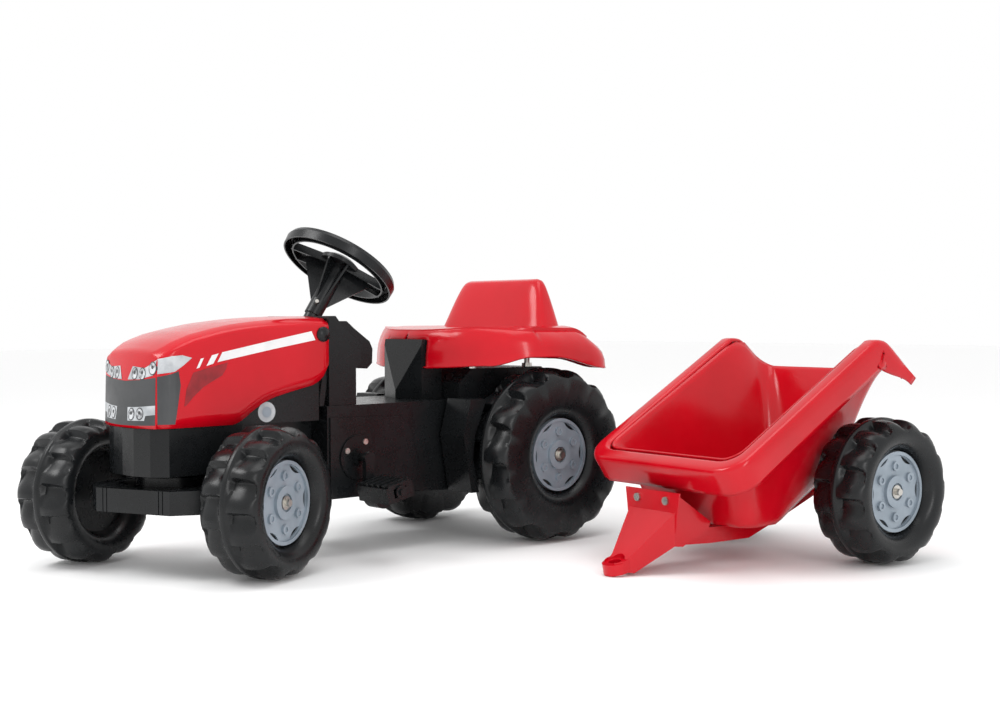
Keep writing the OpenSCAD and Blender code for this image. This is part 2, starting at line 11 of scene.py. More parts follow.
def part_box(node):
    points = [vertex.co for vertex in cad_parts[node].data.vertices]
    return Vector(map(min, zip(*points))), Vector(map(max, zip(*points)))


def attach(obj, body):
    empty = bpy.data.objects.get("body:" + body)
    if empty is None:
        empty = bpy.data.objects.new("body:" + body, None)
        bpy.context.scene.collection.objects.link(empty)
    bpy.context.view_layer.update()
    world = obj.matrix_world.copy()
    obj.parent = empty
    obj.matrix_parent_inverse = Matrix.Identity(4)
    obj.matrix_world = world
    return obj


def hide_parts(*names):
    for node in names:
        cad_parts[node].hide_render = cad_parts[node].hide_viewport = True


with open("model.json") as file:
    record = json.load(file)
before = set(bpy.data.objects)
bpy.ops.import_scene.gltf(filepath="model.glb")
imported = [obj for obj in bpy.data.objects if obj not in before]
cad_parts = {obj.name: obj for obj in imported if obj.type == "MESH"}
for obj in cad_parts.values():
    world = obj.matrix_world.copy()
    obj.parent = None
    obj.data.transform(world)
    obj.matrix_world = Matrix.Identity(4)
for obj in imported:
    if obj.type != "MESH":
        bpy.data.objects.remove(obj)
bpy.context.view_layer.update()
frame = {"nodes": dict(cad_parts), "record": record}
nodes = frame["nodes"]
record = frame["record"]
joints = {j["name"]: j for j in record["behaviour"]["joints"]}
MM = 0.001


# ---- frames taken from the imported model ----
def middle(node):
    low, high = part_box(node)
    return [(a + b) / 2 for a, b in zip(low, high)]


rear_axle = middle("rear_axle_rod")
trailer_axle = middle("trailer_axle_rod")
kingpin = middle("kingpin")
front_dir = joints["wheel_front_left_spin"]["axis"]
trailer_dir = joints["trailer_wheel_left_spin"]["axis"]
column_dir = joints["steering"]["axis"]
column_at = joints["steering"]["pos_m"]
STEER = math.atan2(front_dir[1], front_dir[0])
YAW = math.atan2(trailer_dir[1], trailer_dir[0])
LEAN = math.atan2(column_dir[1], column_dir[2])
COUPLINGS = record["behaviour"]["couplings"]
STEER_RATIO = next(c["ratio"] for c in COUPLINGS if c["joint"] == "front_axle_turn")
WHEEL_TURN = STEER / STEER_RATIO

TRACTOR = Matrix.Translation((rear_axle[0], rear_axle[1], 0))
TRAILER = Matrix.Translation((trailer_axle[0], trailer_axle[1], 0)) @ Matrix.Rotation(YAW, 4, "Z")
FRONT = Matrix.Translation((kingpin[0], kingpin[1], 0)) @ Matrix.Rotation(STEER, 4, "Z")
COLUMN = (Matrix.Translation(column_at) @ Matrix.Rotation(-LEAN, 4, "X")
          @ Matrix.Rotation(WHEEL_TURN, 4, "Z"))


# ---- materials ----
def principled(name):
    mat = bpy.data.materials.new(name)
    mat.use_nodes = True
    nt = mat.node_tree
    return mat, nt, nt.nodes["Principled BSDF"]


def noise(nt, scale, detail=3.0, rough=0.5):
    """Noise in the piece's own coordinates."""
    coord = nt.nodes.new("ShaderNodeTexCoord")
    tex = nt.nodes.new("ShaderNodeTexNoise")
    tex.inputs["Scale"].default_value = scale
    tex.inputs["Detail"].default_value = detail
    tex.inputs["Roughness"].default_value = rough
    nt.links.new(coord.outputs["Object"], tex.inputs["Vector"])
    return tex


def ramp(nt, source, low, high, a, b):
    """Maps low..high of a socket onto a..b."""
    node = nt.nodes.new("ShaderNodeMapRange")
    node.inputs["From Min"].default_value = low
    node.inputs["From Max"].default_value = high
    node.inputs["To Min"].default_value = a
    node.inputs["To Max"].default_value = b
    nt.links.new(source, node.inputs["Value"])
    return node.outputs["Result"]


def bump(nt, height, strength, distance):
    node = nt.nodes.new("ShaderNodeBump")
    node.inputs["Strength"].default_value = strength
    node.inputs["Distance"].default_value = distance
    nt.links.new(height, node.inputs["Height"])
    return node


WAVE_STRENGTH, WAVE_DEPTH, GRAIN_DEPTH = 0.10, 0.0012, 0.0006


def moulded(name, colour, dark, rough, spread, peel=0.02, grain=900.0, coat=0.0, metallic=0.0, cloud=7.0,
             specular=0.5):
    """Moulded plastic or plated metal: slow colour drift, uneven gloss, fine grain and a little wave."""
    mat, nt, bsdf = principled(name)
    drift = noise(nt, cloud, 4.0)
    mix = nt.nodes.new("ShaderNodeMix")
    mix.data_type = "RGBA"
    mix.inputs["A"].default_value = (*dark, 1)
    mix.inputs["B"].default_value = (*colour, 1)
    nt.links.new(ramp(nt, drift.outputs["Fac"], 0.35, 0.6, 0.0, 1.0), mix.inputs["Factor"])
    nt.links.new(mix.outputs["Result"], bsdf.inputs["Base Color"])
    wear = noise(nt, 60.0, 5.0, 0.6)
    nt.links.new(ramp(nt, wear.outputs["Fac"], 0.3, 0.7, rough, rough + spread), bsdf.inputs["Roughness"])
    fine = noise(nt, grain, 2.0)
    wave = noise(nt, 22.0, 1.0)
    grain_bump = bump(nt, fine.outputs["Fac"], peel, GRAIN_DEPTH)
    wave_bump = bump(nt, wave.outputs["Fac"], WAVE_STRENGTH, WAVE_DEPTH)
    nt.links.new(grain_bump.outputs["Normal"], wave_bump.inputs["Normal"])
    nt.links.new(wave_bump.outputs["Normal"], bsdf.inputs["Normal"])
    bsdf.inputs["Coat Weight"].default_value = coat
    bsdf.inputs["Coat Roughness"].default_value = 0.08
    bsdf.inputs["Metallic"].default_value = metallic
    bsdf.inputs["Specular IOR Level"].default_value = specular
    return mat


RED = moulded("red_plastic", (0.54, 0.0015, 0.010), (0.46, 0.001, 0.007), 0.14, 0.09, 0.03, 700, coat=0.08,
              specular=0.32)
BLACK = moulded("black_plastic", (0.008, 0.009, 0.010), (0.005, 0.0055, 0.006), 0.22, 0.12, 0.10, 1500,
                specular=0.28)
TYRE = moulded("tyre_plastic", (0.008, 0.009, 0.010), (0.0045, 0.005, 0.0055), 0.22, 0.14, 0.10, 1300,
               specular=0.3)
GREY = moulded("disc_grey_plastic", (0.30, 0.35, 0.40), (0.24, 0.285, 0.33), 0.30, 0.14, 0.08, 1100,
               metallic=0.25, cloud=25)
STEEL = moulded("zinc_steel_finish", (0.60, 0.58, 0.54), (0.46, 0.44, 0.41), 0.22, 0.2, 0.15, 600,
                metallic=1.0, cloud=60)
NYLON = moulded("nylon_finish", (0.40, 0.40, 0.39), (0.32, 0.32, 0.31), 0.4, 0.1, 0.1, 900)
WHITE = moulded("sticker_white", (0.80, 0.80, 0.80), (0.70, 0.71, 0.72), 0.28, 0.1, 0.02, 500, cloud=30)
SILVER = moulded("sticker_silver", (0.52, 0.54, 0.56), (0.34, 0.36, 0.38), 0.25, 0.1, 0.02, 500, cloud=40)
CHARCOAL = moulded("sticker_charcoal", (0.045, 0.047, 0.050), (0.03, 0.032, 0.034), 0.35, 0.1, 0.02, 500,
                   cloud=20)
MAROON = moulded("sticker_maroon", (0.30, 0.004, 0.010), (0.20, 0.002, 0.006), 0.4, 0.1, 0.05, 500, cloud=50)
LENS = moulded("sticker_lamp", (0.62, 0.64, 0.66), (0.10, 0.10, 0.11), 0.2, 0.1, 0.02, 400, cloud=130)
SLOT_MATERIAL = {"body_black": BLACK, "tyre_black": TYRE, "shell_red": RED, "disc_grey": GREY,
                 "bush_grey": NYLON, "zinc_steel": STEEL}


# ---- mesh helpers ----
def build(name, points, faces, mat, place, body, smooth=True, angle=40):
    """A mesh piece from points in millimetres in a local frame; place takes it to the row frame."""
    mesh = bpy.data.meshes.new(name)
    pts = np.asarray(points, dtype=float) * MM
    rot = np.array(place.to_3x3())
    shift = np.array(place.translation)
    pts = pts @ rot.T + shift
    mesh.from_pydata([tuple(p) for p in pts], [], faces)
    mesh.validate()
    clean = bmesh.new()
    clean.from_mesh(mesh)
    bmesh.ops.recalc_face_normals(clean, faces=clean.faces)
    clean.to_mesh(mesh)
    clean.free()
    obj = bpy.data.objects.new(name, mesh)
    bpy.context.scene.collection.objects.link(obj)
    mesh.materials.append(mat)
    if smooth:
        mesh.polygons.foreach_set("use_smooth", [True] * len(mesh.polygons))
        mesh.set_sharp_from_angle(angle=math.radians(angle))
    mesh.update()
    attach(obj, body)
    return obj


def grid_faces(rows, cols, closed_cols=False):
    """Quads over a grid of points kept row by row; closed_cols joins the last column to the first."""
    faces = []
    col_count = cols if closed_cols else cols - 1
    for i in range(rows - 1):
        for j in range(col_count):
            j2 = (j + 1) % cols
            faces.append((i * cols + j, i * cols + j2, (i + 1) * cols + j2, (i + 1) * cols + j))
    return faces


def modifier(obj, kind, **values):
    mod = obj.modifiers.new(kind.lower(), kind)
    for key, value in values.items():
        setattr(mod, key, value)
    return mod


def smoothstep(a, b, x):
    t = np.clip((x - a) / (b - a), 0, 1)
    return t * t * (3 - 2 * t)


def soften(obj, width, segments=3, angle=30):
    """Rounds the edges of a CAD node, whose own mesh stays as it is."""
    modifier(obj, "BEVEL", width=width * MM, segments=segments, limit_method="ANGLE",
             angle_limit=math.radians(angle), harden_normals=False, use_clamp_overlap=True)


# ---- tyres ----
LUGS = 14
STEPS_PER_LUG = 26
HUB_BORE = 8.0
HUB_BACK = -24.0
FRONT_FACE = 24.0
REAR_FACE = 28.0
TREAD_BAND = 22


def tyre_profile(r, face):
    """(across, radius) from the inner hub face round the tread to the outer hub face."""
    side = [(61.5, 24.5), (62.5, 27), (65, 33), (69, 40), (74, 44.8), (80, 47.2), (86, 47.9), (r - 18, 47.5),
            (r - 13.5, 45.8), (r - 9.5, 43), (r - 6.2, 39.5), (r - 3.8, 35), (r - 2.4, 30), (r - 1.6, 25),
            (r - 1.2, 20), (r - 1.1, 15), (r - 1.4, 10.5), (r - 1.9, 7.5), (r - 2.1, 5.2), (r - 1.5, 4.2),
            (r - 0.35, 3.4), (r - 0.05, 2.2)]
    first = side[0][1]
    outer = [(a if rad > 66 else min(a, face + (a - first)), rad) for rad, a in side]
    outer[0] = (face, outer[0][1])
    inner = [(-a, rad) for rad, a in side]
    inner[0] = (HUB_BACK, inner[0][1])
    return [(HUB_BACK, HUB_BORE)] + inner + [(0.0, r - 0.02)] + outer[::-1] + [(face, HUB_BORE)]


def tyre(name, node, place, body, r, face, mirror):
    """A turned tyre with a sawtooth pocket between each two lugs, half a lug apart on the two sides."""
    prof = np.array(tyre_profile(r, face))
    n = LUGS * STEPS_PER_LUG
    depth = 0.085 * r
    theta = np.arange(n) * 2 * math.pi / n
    across = np.meshgrid(prof[:, 0], theta, indexing="ij")[0]
    rad = np.repeat(prof[:, 1][:, None], n, 1)
    phase = np.where(across < 0, 0.5, 0.0)
    turn = (theta[None, :] / (2 * math.pi) * LUGS + phase) % 1.0
    reach = np.abs(across)
    pocket_end = 45.5 - 26 * np.clip(np.abs(turn - 0.44) - 0.08, 0, 1) ** 1.5
    saw = smoothstep(0.05, 0.13, turn) * (1 - smoothstep(0.16, 0.93, turn)) * 1.12
    lane = smoothstep(5.6, 9.5, reach) * (1 - smoothstep(-3.2, 2.2, reach - pocket_end))
    rad = rad - np.where(rad > r - TREAD_BAND, depth * saw * lane, 0)
    if mirror:
        across = -across
    turned = [across, rad * np.cos(theta)[None, :], rad * np.sin(theta)[None, :]]
    points = np.stack(turned, axis=-1).reshape(-1, 3)
    faces = grid_faces(len(prof), n, closed_cols=True)
    obj = build(name, points, faces, TYRE, place, body, angle=50)
    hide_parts(node)


def at_axle(frame_of, across, height):
    return frame_of @ Matrix.Translation((across * MM, 0, height * MM))


HALF_TRACK = (middle("tyre_rear_left")[0] - rear_axle[0]) / MM
REAR_R = (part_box("tyre_rear_left")[1][2]) / 2 / MM
FRONT_R = (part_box("tyre_front_left")[1][2]) / 2 / MM
TRAILER_TRACK = (Vector(middle("tyre_trailer_left")) - Vector(trailer_axle)).length / MM
for side, sign in (("left", 1), ("right", -1)):
    rear_body = "wheel_rear_left" if side == "left" else "rear_axle"
    tyre("tyre_mesh_rear_" + side, "tyre_rear_" + side, at_axle(TRACTOR, sign * HALF_TRACK, REAR_R),
         rear_body, REAR_R, REAR_FACE, sign < 0)
    tyre("tyre_mesh_front_" + side, "tyre_front_" + side, at_axle(FRONT, sign * HALF_TRACK, FRONT_R),
         "wheel_front_" + side, FRONT_R, FRONT_FACE, sign < 0)
    tyre("tyre_mesh_trailer_" + side, "tyre_trailer_" + side, at_axle(TRAILER, sign * TRAILER_TRACK, FRONT_R),
         "trailer_wheel_" + side, FRONT_R, FRONT_FACE, sign < 0)


# ---- bonnet ----
BONNET_HALF = 87.0
BONNET_WALL = 2.5
NOSE_BOTTOM = 215
NOSE_ROWS = 11


def bonnet_crown(y):
    """Height of the crown line along the bonnet."""
    ys = [-682, -676, -664, -640, -608, -570, -540, -500, -471, -430, -380]
    zs = [300, 312, 325, 339, 350.5, 359, 364.5, 369, 371, 372.5, 373]
    return float(np.interp(y, ys, zs))


def bonnet_front(x):
    """Front of the bonnet in plan, bowed forward in the middle."""
    u = abs(x) / BONNET_HALF
    return -681.0 + 18.0 * u ** 2.2


def bonnet_low(y):
    """Lower edge of the bonnet side."""
    ys = [-700, -546, -534, -516, -498, -481, -449, -407, -392, -380]
    zs = [215, 215.5, 221, 234, 245, 252, 260, 269, 278, 300]
    return float(np.interp(y, ys, zs))


def bonnet_row(y):
    """One cross-section, from the lower left edge over the crown to the lower right edge."""
    top = bonnet_crown(y)
    camber = 5.5 if y > -640 else 6.5
    toward_nose = np.clip((-636 - y) / 28, 0, 1)
    half = BONNET_HALF - 10 * toward_nose ** 2.2
    shoulder = top - 17
    row = [(half, y, z) for z in np.linspace(bonnet_low(y), shoulder, 8)]
    for k in range(1, 5):
        a = k / 5 * math.pi / 2
        row.append((half - 14 * (1 - math.cos(a)), y, shoulder + (16 - camber) * math.sin(a)))
    for x in np.linspace(half - 16, 0, 13):
        row.append((x, y, top - camber * (x / half) ** 2))
    return row + [(-p[0], p[1], p[2]) for p in row[-2::-1]]


def bonnet():
    """The bonnet shell: cross-sections along it, then rows that roll over the nose to its lower edge."""
    stations = list(np.linspace(-380.5, -628, 26)) + [-640, -650, -658, -664]
    rows = [bonnet_row(y) for y in stations]
    last = rows[-1]
    for k in range(1, NOSE_ROWS + 1):
        t = k / NOSE_ROWS
        rows.append([(x, y + (bonnet_front(x) - y) * t ** 0.75, z - (z - NOSE_BOTTOM) * t ** 1.35)
                     for x, y, z in last])
    points = [p for row in rows for p in row]
    faces = grid_faces(len(rows), len(last))
    obj = build("bonnet_mesh", points, faces, RED, TRACTOR, "chassis", angle=60)
    modifier(obj, "SOLIDIFY", thickness=BONNET_WALL * MM, offset=-1.0)
    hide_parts("hood")
    return obj


def ray_tree(obj):
    mesh = obj.data
    return BVHTree.FromPolygons([v.co for v in mesh.vertices], [tuple(q.vertices) for q in mesh.polygons])


bonnet_piece = bonnet()
bonnet_tree = ray_tree(bonnet_piece)
chassis_tree = ray_tree(nodes["chassis_shell"])


# ---- stickers and the bolt heads on the sides ----
RIM_POINTS = 64
STICKER_RINGS = 8
BOLT_AT = (-489, 231)


def resample(outline, count):
    """Points evenly spaced round a closed outline, with its corners kept."""
    pts = [Vector(q) for q in outline]
    lengths = [(pts[(k + 1) % len(pts)] - pts[k]).length for k in range(len(pts))]
    total = sum(lengths)
    out = []
    for k, length in enumerate(lengths):
        parts = max(1, round(count * length / total))
        out += [pts[k].lerp(pts[(k + 1) % len(pts)], j / parts) for j in range(parts)]
    return out


def sticker(name, outline, way, mat, lift=0.25, tree=bonnet_tree):
    """A thin sticker laid on a body mesh: the outline is in mm across the projection; way is the side it
    is seen from: front, left or right."""
    rim = resample(outline, RIM_POINTS)
    centre = sum(rim, Vector((0, 0))) / len(rim)
    points = []
    for ring in range(STICKER_RINGS + 1):
        for q in rim:
            flat = centre.lerp(q, max(ring / STICKER_RINGS, 0.002))
            if way == "front":
                start = Vector((flat.x * MM, -1.2, flat.y * MM))
                ray = Vector((0, 1, 0))
                reach = 0.52
            else:
                sign = 1 if way == "left" else -1
                start = Vector((sign * 0.4, flat.x * MM, flat.y * MM))
                ray = Vector((-sign, 0, 0))
                reach = 0.32
            start = TRACTOR @ start
            hit, normal, _, _ = tree.ray_cast(start, ray)
            if hit is None:
                hit, normal, _, _ = tree.find_nearest(start + ray * reach)
            if normal.dot(ray) > 0:
                normal = -normal
            local = TRACTOR.inverted() @ (hit + normal * lift * MM)
            points.append(tuple(local / MM))
    faces = grid_faces(STICKER_RINGS + 1, len(rim), closed_cols=True)
    return build(name, points, faces, mat, TRACTOR, "chassis", angle=80)


def round_outline(x, z, rx, rz=None, count=36):
    rz = rz or rx
    return [(x + rx * math.cos(2 * math.pi * k / count), z + rz * math.sin(2 * math.pi * k / count))
            for k in range(count)]


def side_stickers(way):
    sticker("strip_" + way, [(-566, 321), (-485, 336.5), (-412, 350), (-405, 336.5), (-480, 324),
                             (-574, 307)],
            way, WHITE)
    sticker("bar_wide_" + way, [(-583, 317), (-572, 319.5), (-581, 305), (-592, 302)], way, WHITE)
    sticker("bar_thin_" + way, [(-601, 312.5), (-596, 313.5), (-603, 300), (-608, 298.5)], way, WHITE)
    sticker("side_vent_" + way, [(-613, 293), (-585, 300), (-557, 306), (-560, 297), (-566, 288), (-580, 281),
                                 (-597, 272), (-614, 258), (-625, 246), (-628, 246), (-624, 270)],
            way, MAROON)
    sticker("grille_wrap_" + way, [(-664.5, 221), (-664.5, 288), (-646, 292), (-636, 296), (-633, 276),
                                   (-637, 250), (-642, 221)], way, CHARCOAL, lift=0.2)
    sticker("lamp_wing_" + way, [(-664, 292), (-663, 313), (-646, 317), (-630, 318), (-615, 314), (-628, 304),
                                 (-642, 295)], way, SILVER, lift=0.4)
    sticker("bolt_ring_" + way, round_outline(*BOLT_AT, 15.0), way, SILVER, tree=chassis_tree)
    sticker("bolt_cap_" + way, round_outline(*BOLT_AT, 8.0), way, GREY, lift=0.6,
            tree=chassis_tree)


def lamp(tag, x, z, size):
    """A round lamp in a dark rim, a little taller than wide."""
    glass = size - 1.3
    sticker("lamp_rim_" + tag, round_outline(x, z, size, size * 1.12), "front", CHARCOAL,
            lift=0.65)
    sticker("lamp_glass_" + tag, round_outline(x, z, glass, glass * 1.12), "front", LENS,
            lift=0.85)
    sticker("lamp_bulb_" + tag, round_outline(x, z + 1.5, 2.6), "front", CHARCOAL, lift=1.0)


def lamp_bands(side, sign):
    upper = [(9, 283), (19, 302), (50, 300), (66, 306), (76, 312), (76, 298), (70, 290), (40, 284)]
    lower = [(16, 244), (40, 245), (76, 248), (76, 235), (58, 233), (56, 226), (18, 225)]
    sticker("lamp_band_" + side, [(sign * x, z) for x, z in upper], "front", SILVER, lift=0.45)
    sticker("lower_band_" + side, [(sign * x, z) for x, z in lower], "front", SILVER, lift=0.45)
    lamps = ((27, 292, 8.0), (46, 292, 8.0), (69, 300, 8.5), (27, 234.5, 8.0), (46, 235.5, 8.0))
    for k, (x, z, size) in enumerate(lamps):
        lamp("%s_%d" % (side, k), sign * x, z, size)


def stickers():
    for way in ("left", "right"):
        side_stickers(way)
    sticker("grille_panel", [(-76, 287), (-40, 283), (0, 281), (40, 283), (76, 287), (76, 250), (76, 220),
                             (40, 218.5), (0, 218), (-40, 218.5), (-76, 220), (-76, 250)],
            "front", CHARCOAL)
    lamp_bands("right", -1)
    lamp_bands("left", 1)


stickers()


# ---- seat with fenders ----
SEAT_MIDDLE = (0.0, -25.0)
SEAT_TOP = 355.5
SEAT_POINTS = 192
BACKREST_POINTS = 64
SHELL = 2.6


def seat_outline(angle):
    """Radius of the seat's plan outline from its middle, by angle from +X towards +Y."""
    corners = [(0, -170), (52, -166), (100, -146), (135, -122), (165, -92), (190, -58), (204, -20),
               (209, 20), (210.5, 60), (209, 92), (203, 108), (190, 113), (160, 112), (125, 104),
               (90, 92), (45, 86), (0, 84)]
    ang = [math.atan2(y - SEAT_MIDDLE[1], x - SEAT_MIDDLE[0]) for x, y in corners]
    rad = [math.hypot(x - SEAT_MIDDLE[0], y - SEAT_MIDDLE[1]) for x, y in corners]
    a = math.atan2(math.sin(angle), abs(math.cos(angle)))
    return float(np.interp(a, ang, rad))


def seat_skirt_low(x, y):
    """Height of the lower edge of the skirt round the seat."""
    if y < -95 and abs(x) < 150:
        return 289.5 + 4 * smoothstep(60, 150, abs(x))
    front = 293 + 14 * smoothstep(-110, -55, y) - 21 * smoothstep(-20, 104, y)
    inner = 14 * (1 - smoothstep(95, 165, abs(x))) * smoothstep(40, 90, y)
    return float(front + inner)


def seat_base(x, y):
    """Height of the seat's top without its dish and beads: lower at the fenders, the rear and the front."""
    fender = 7 * smoothstep(120, 205, abs(x)) + 22 * smoothstep(50, 112, y) * smoothstep(80, 150, abs(x))
    return SEAT_TOP - fender - 5 * smoothstep(-110, -165, y)


def seat_top(x, y):
    dish = 6.0 * math.exp(-((x / 95) ** 2 + ((y + 55) / 70) ** 2))
    bead = 3.5 * math.exp(-(((abs(x) - 165) / 22) ** 2)) * smoothstep(-90, -40, y)
    return seat_base(x, y) - dish + bead


def seat_ring(spread=None, drop=None):
    """A ring of the seat, on its top at a share of the way out or on its skirt at a share down."""
    row = []
    for k in range(SEAT_POINTS):
        a = 2 * math.pi * (k + 0.5) / SEAT_POINTS
        reach = seat_outline(a)
        ca, sa = math.cos(a), math.sin(a)
        rim_y = SEAT_MIDDLE[1] + reach * sa
        flare = 1.0 if rim_y > -40 else 0.35
        base_r = reach - (26 * flare + 6)
        if drop is None:
            r = base_r * spread
            x, y = SEAT_MIDDLE[0] + r * ca, SEAT_MIDDLE[1] + r * sa
            z = seat_top(x, y)
        else:
            top = seat_base(SEAT_MIDDLE[0] + base_r * ca, SEAT_MIDDLE[1] + base_r * sa) - 3
            low = seat_skirt_low(SEAT_MIDDLE[0] + reach * ca, rim_y)
            out = math.sin(min(1.0, drop * 1.25) * math.pi / 2) * 0.86 + 0.14 * drop
            r = base_r + (reach - base_r) * out
            x, y = SEAT_MIDDLE[0] + r * ca, SEAT_MIDDLE[1] + r * sa
            z = top - (top - low) * drop ** 1.25
        row.append((x, y, float(z)))
    return row


def rolled_lip(row):
    """The lower edge of the skirt, turned outward a little."""
    lip = []
    for x, y, z in row:
        dx, dy = x - SEAT_MIDDLE[0], y - SEAT_MIDDLE[1]
        size = math.hypot(dx, dy)
        grow = 1.2 if abs(x) < 207 else 0.4
        lip.append((x + dx / size * grow, y + dy / size * grow, z - 2.0))
    return lip


def seat():
    widest = 0.93
    spreads = [0.0001, 0.12, 0.24, 0.36, 0.48, 0.58, 0.67, 0.75, 0.82, 0.88, widest]
    rings = [seat_ring(spread=f / widest) for f in spreads]
    rings += [seat_ring(drop=t) for t in (0.0, 0.05, 0.16, 0.34, 0.55, 0.78, 1.0)]
    rings.append(rolled_lip(rings[-1]))
    points = [q for row in rings for q in row]
    faces = []
    for face in grid_faces(len(rings), SEAT_POINTS, closed_cols=True):
        x, y, z = np.mean([points[i] for i in face], axis=0)
        opening = abs(x) < 53 and y < -130 and z < 334
        notch = abs(x) < 3.5 and y < -130 and z < 343
        if not (opening or notch):
            faces.append(face)
    obj = build("seat_mesh", points, faces, RED, TRACTOR, "chassis", angle=60)
    modifier(obj, "SOLIDIFY", thickness=SHELL * MM, offset=-1.0)
    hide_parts("seat")


def backrest_ring(t):
    """A rounded cross-section of the backrest at a share of its height."""
    front, rear = 16 + 30 * t ** 0.9, 84 - 14 * t
    half = 137 - 40 * t ** 0.9 - 10 * max(0, t - 0.8) ** 1.2
    row = []
    for j in range(BACKREST_POINTS):
        a = 2 * math.pi * j / BACKREST_POINTS
        c, s = math.cos(a), math.sin(a)
        x = half * math.copysign(abs(c) ** 0.35, c)
        y = (front + rear) / 2 + (rear - front) / 2 * math.copysign(abs(s) ** 0.75, s)
        wrap = -6 * (abs(x) / half) ** 3 * (1 - t) if s < 0 else 0
        row.append((x, y + wrap, 350 + 83.5 * (1 - (1 - t) ** 1.35)))
    return row


def backrest():
    """The backrest: rounded, leaning back, deepest at its foot and closed on top."""
    rows = [backrest_ring(k / 14) for k in range(15)]
    last = rows[-1]
    middle_y = sum(p[1] for p in last) / len(last)
    for t in (0.10, 0.24, 0.42, 0.62, 0.82, 0.97):
        narrow = 1 - 0.10 * t if t < 0.9 else 0.5
        rows.append([(x * narrow, middle_y + (y - middle_y) * (1 - t), z + 3.0 * math.sin(t * math.pi / 2))
                     for x, y, z in last])
    points = [q for row in rows for q in row]
    faces = grid_faces(len(rows), len(last), closed_cols=True)
    start = (len(rows) - 1) * len(last)
    faces.append(tuple(range(start, start + len(last))))
    build("backrest_mesh", points, faces, RED, TRACTOR, "chassis", angle=60)


seat()
backrest()


# ---- trailer tub ----
RIM_SLOPE = math.radians(30.3)
WING_SLOPE = math.radians(-39)
RIM_START = (-311.0, 155.0)
RIM_HALF = 163.0
RIM_END = 352
WING_STEPS = 15
TUB_WALL = 2.4
# the rim's cross-section as (inset from the outer edge, drop below the rim plane)
RIM_SECTION = ((2.6, 45.0), (1.6, 38.0), (0.6, 20.0), (0.2, 9.0), (1.0, 5.0), (2.8, 2.2), (5.6, 0.6),
               (9.0, 0.0), (20.0, 0.0), (23.5, 0.5), (26.0, 2.4), (27.4, 5.6))


def rim_point(x, along, drop):
    """A point given across, along the sloping rim plane, and below it."""
    c, s = math.cos(RIM_SLOPE), math.sin(RIM_SLOPE)
    return (x, RIM_START[0] + along * c + drop * s, RIM_START[1] + along * s - drop * c)


def rim_path(inset):
    """Half of the rim line, from the middle of the front round the corner, as (across, along)."""
    half = RIM_HALF - inset
    corner = max(12.0, 46.0 - 0.75 * inset)
    path = [(x, inset) for x in np.linspace(0, half - corner, 8)]
    for k in range(1, 11):
        a = k / 10 * math.pi / 2
        path.append((half - corner + corner * math.sin(a), inset + corner - corner * math.cos(a)))
    return path + [(half, along) for along in np.linspace(corner + inset + 20, RIM_END, 16)]


def wing_axis(t):
    """Line of the wing past the rim plane: over the peak and down to the tail tip."""
    ys = [-7.0, -1.0, 6.0, 14.0, 22.0, 32.0, 56.0, 88.5]
    zs = [332.6, 333.9, 334.0, 333.2, 330.0, 323.0, 303.5, 277.0]
    ts = [0.0, 0.06, 0.12, 0.19, 0.27, 0.37, 0.62, 1.0]
    return float(np.interp(t, ts, ys)), float(np.interp(t, ts, zs))


def rim_column(side, inset, drop):
    """One line of the rim's surface, from the middle of the front to the tail of one side."""
    column = [rim_point(side * x, along, drop) for x, along in rim_path(inset)]
    for k in range(1, WING_STEPS + 1):
        t = k / WING_STEPS
        bend = smoothstep(0.0, 0.32, t)
        slope = RIM_SLOPE * (1 - bend) + WING_SLOPE * bend
        wing_y, wing_z = wing_axis(t)
        lip = drop * (1 - 0.62 * smoothstep(0.25, 1.0, t)) if drop > 8 else drop
        x = side * (RIM_HALF - inset)
        column.append((x, wing_y + lip * math.sin(slope), wing_z - lip * math.cos(slope)))
    return column


def tub_rim():
    points, faces = [], []
    for side in (-1, 1):
        columns = [rim_column(side, inset, drop) for inset, drop in RIM_SECTION]
        length = len(columns[0])
        start = len(points)
        for column in columns:
            points += column
        for c in range(len(columns) - 1):
            for k in range(length - 1):
                a = start + c * length + k
                face = (a, a + 1, a + length + 1, a + length)
                faces.append(face if side > 0 else face[::-1])
    obj = build("tub_rim_mesh", points, faces, RED, TRAILER, "trailer", angle=60)
    modifier(obj, "WELD", merge_threshold=0.00005)
    modifier(obj, "SOLIDIFY", thickness=TUB_WALL * MM, offset=-1.0)


def tub_top(y):
    """Height of the tub wall's upper edge along the trailer."""
    return float(np.interp(y, [-290, -10, 18, 40, 70], [165, 326, 328, 309, 284]))


def tub_floor(y):
    """Height of the tub's floor along the trailer."""
    return float(np.interp(y, [-290, -226, -150, -84, 0, 42, 70], [66, 63, 63, 95, 131, 166, 200]))


def tub_level(d):
    """A closed loop round the tub at a depth fraction from the rim (0) to the floor (1), as points."""
    ease = d ** 0.92
    half_front = 136.0 - 33.0 * ease
    half_rear = 134.0 - 59.0 * ease
    front = -284.0 + 58.0 * ease
    rear = 68.0 - 30.0 * ease
    corner = 26.0 + 4.0 * math.sin(d * math.pi)
    quarter = [k / 9 * math.pi / 2 for k in range(1, 10)]
    half = [(x, front) for x in np.linspace(0, half_front - corner, 8)]
    half += [(half_front - corner + corner * math.sin(a), front + corner - corner * math.cos(a))
             for a in quarter]
    for k in range(1, 15):
        t = k / 14
        half.append((half_front + (half_rear - half_front) * t,
                     front + corner + (rear - corner - front - corner) * t))
    half += [(half_rear - corner + corner * math.cos(a), rear - corner + corner * math.sin(a))
             for a in quarter]
    half += [(x, rear) for x in np.linspace(half_rear - corner, 0, 7)[1:]]
    loop = half + [(-x, y) for x, y in half[-2:0:-1]]
    return [(x, y, tub_top(y) + (tub_floor(y) - tub_top(y)) * (1 - (1 - d) ** 1.12)) for x, y in loop]


